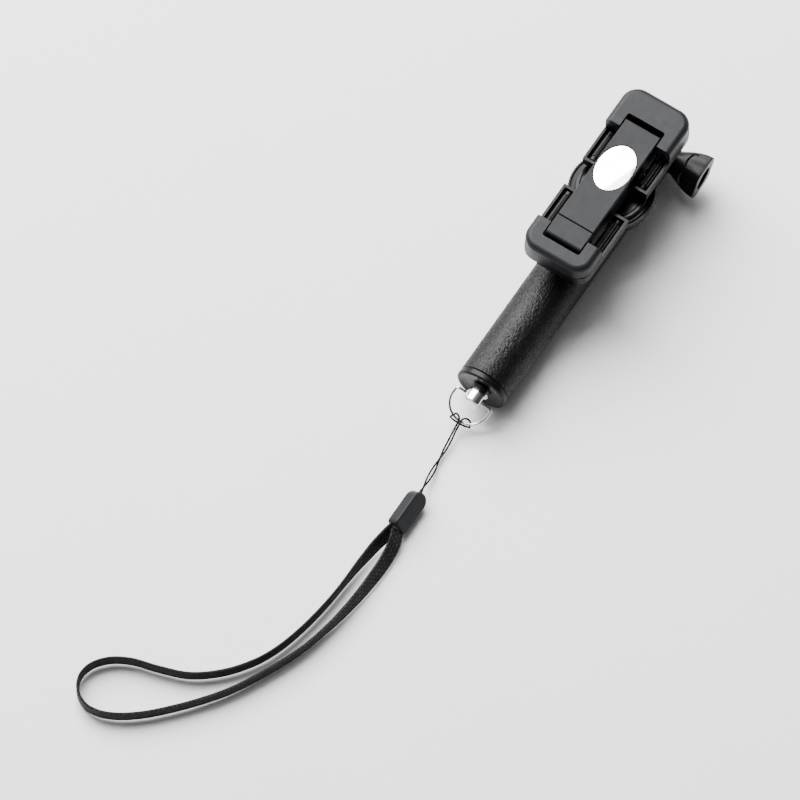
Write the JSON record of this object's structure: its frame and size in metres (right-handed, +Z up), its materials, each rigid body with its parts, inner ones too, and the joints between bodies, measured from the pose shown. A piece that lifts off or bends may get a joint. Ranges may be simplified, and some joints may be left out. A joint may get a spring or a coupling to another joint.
{
  "type": "selfie stick",
  "caption": "Pocket selfie stick, folded: telescopic handle with wrist strap, tilting head with thumb knob, and a swivelling spring phone clamp with a convex mirror.",
  "frame": {"origin": "middle of the flat foot under the head fork's block, on the surface that the folded stick lies on", "axes": "+Y along the handle towards the head, +Z up out of the bar's face that the phone rests on, +X towards the thumb knob"},
  "size_m": [0.09, 0.3265, 0.0428],
  "materials": {
    "grip_rubber": "fine leather-like grain, matt",
    "pad_rubber": "ribbed, matt",
    "black_plastic": "semi-gloss, moulded",
    "satin_plastic": "satin, soft to the touch",
    "bright_metal": "bright plating",
    "plain_steel": "plain",
    "tube_metal": "drawn and anodised",
    "insert_brass": "turned",
    "mirror_face": "polished, convex",
    "strap_fabric": "woven tape and braided cord"
  },
  "bodies": {
    "handle": {"grip_sleeve": "grip_rubber", "handle_tube": "tube_metal", "top_collar": "black_plastic", "end_cap": "black_plastic"},
    "post": {"strap_post": "bright_metal", "post_clip": "plain_steel"},
    "ring": {"d_ring": "bright_metal", "strap_cord": "strap_fabric", "strap_slider": "satin_plastic", "strap_webbing": "strap_fabric"},
    "pole_1": {"pole_section_1": "tube_metal", "pole_bushing_1": "black_plastic"},
    "pole_2": {"pole_section_2": "tube_metal", "pole_bushing_2": "black_plastic"},
    "pole_3": {"pole_section_3": "tube_metal", "pole_bushing_3": "black_plastic"},
    "pole_4": {"pole_section_4": "tube_metal", "pole_bushing_4": "black_plastic"},
    "head": {"pole_section_5": "tube_metal", "pole_bushing_5": "black_plastic", "head_fork": "black_plastic", "hinge_screw": "bright_metal", "hinge_washer_left": "bright_metal", "hinge_washer_right": "bright_metal"},
    "knob": {"thumb_knob": "black_plastic", "knob_insert": "insert_brass"},
    "tilt_arm": {"hinge_arm": "black_plastic", "platform_disc": "black_plastic", "swivel_rivet": "plain_steel", "swivel_washer": "plain_steel"},
    "clamp": {"platform_pad": "black_plastic", "clamp_base": "black_plastic", "bar_cover": "satin_plastic", "mirror": "mirror_face", "cover_screw_1": "plain_steel", "cover_screw_2": "plain_steel", "clamp_spring_left": "plain_steel", "clamp_spring_right": "plain_steel", "upper_frame": "black_plastic", "frame_screw_1": "plain_steel", "frame_screw_2": "plain_steel", "grip_pad_1": "pad_rubber", "grip_pad_2": "pad_rubber", "claw_pin_1": "plain_steel", "claw_pin_2": "plain_steel"},
    "lower_jaw": {"clamp_tongue": "black_plastic", "bar_end_cover": "satin_plastic", "lower_frame": "black_plastic", "frame_screw_3": "plain_steel", "frame_screw_4": "plain_steel", "grip_pad_3": "pad_rubber", "grip_pad_4": "pad_rubber", "claw_pin_3": "plain_steel", "claw_pin_4": "plain_steel"},
    "upper_claw_body": {"upper_claw": "satin_plastic"},
    "lower_claw_body": {"lower_claw": "satin_plastic"}
  },
  "joints": [
    {"name": "post_swivel", "type": "hinge", "parent": "handle", "child": "post", "pos_m": [0, -0.11715, 0.011], "axis": [0, 1, 0], "continuous": true},
    {"name": "ring_swing", "type": "hinge", "parent": "post", "child": "ring", "pos_m": [0, -0.11815, 0.011], "axis": [0.9659, 0, -0.2588], "range_deg": [-130, 45]},
    {"name": "pole_slide_1", "type": "slide", "parent": "handle", "child": "pole_1", "axis": [0, 1, 0], "range_m": [0, 0.086]},
    {"name": "pole_slide_2", "type": "slide", "parent": "pole_1", "child": "pole_2", "axis": [0, 1, 0], "range_m": [0, 0.086]},
    {"name": "pole_slide_3", "type": "slide", "parent": "pole_2", "child": "pole_3", "axis": [0, 1, 0], "range_m": [0, 0.086]},
    {"name": "pole_slide_4", "type": "slide", "parent": "pole_3", "child": "pole_4", "axis": [0, 1, 0], "range_m": [0, 0.086]},
    {"name": "pole_slide_5", "type": "slide", "parent": "pole_4", "child": "head", "axis": [0, 1, 0], "range_m": [0, 0.086]},
    {"name": "knob_turn", "type": "hinge", "parent": "head", "child": "knob", "pos_m": [0.0095, 0.01185, 0.0115], "axis": [1, 0, 0], "range_deg": [0, 360]},
    {"name": "head_tilt", "type": "hinge", "parent": "head", "child": "tilt_arm", "pos_m": [0, 0.01185, 0.0115], "axis": [-1, 0, 0], "range_deg": [0, 180]},
    {"name": "clamp_swivel", "type": "hinge", "parent": "tilt_arm", "child": "clamp", "pos_m": [0, -0.01875, 0.0265], "axis": [0, 0, 1], "continuous": true},
    {"name": "jaw_slide", "type": "slide", "parent": "clamp", "child": "lower_jaw", "axis": [0, -1, 0], "range_m": [0, 0.034], "stiffness_N_per_m": 120, "springref_m": -0.03, "deforming": ["clamp_spring_left", "clamp_spring_right"]},
    {"name": "upper_claw_flip", "type": "hinge", "parent": "clamp", "child": "upper_claw_body", "pos_m": [0, 0.00125, 0.0377], "axis": [1, 0, 0], "range_deg": [0, 90]},
    {"name": "lower_claw_flip", "type": "hinge", "parent": "lower_jaw", "child": "lower_claw_body", "pos_m": [0, -0.05155, 0.0377], "axis": [-1, 0, 0], "range_deg": [0, 90]}
  ]
}
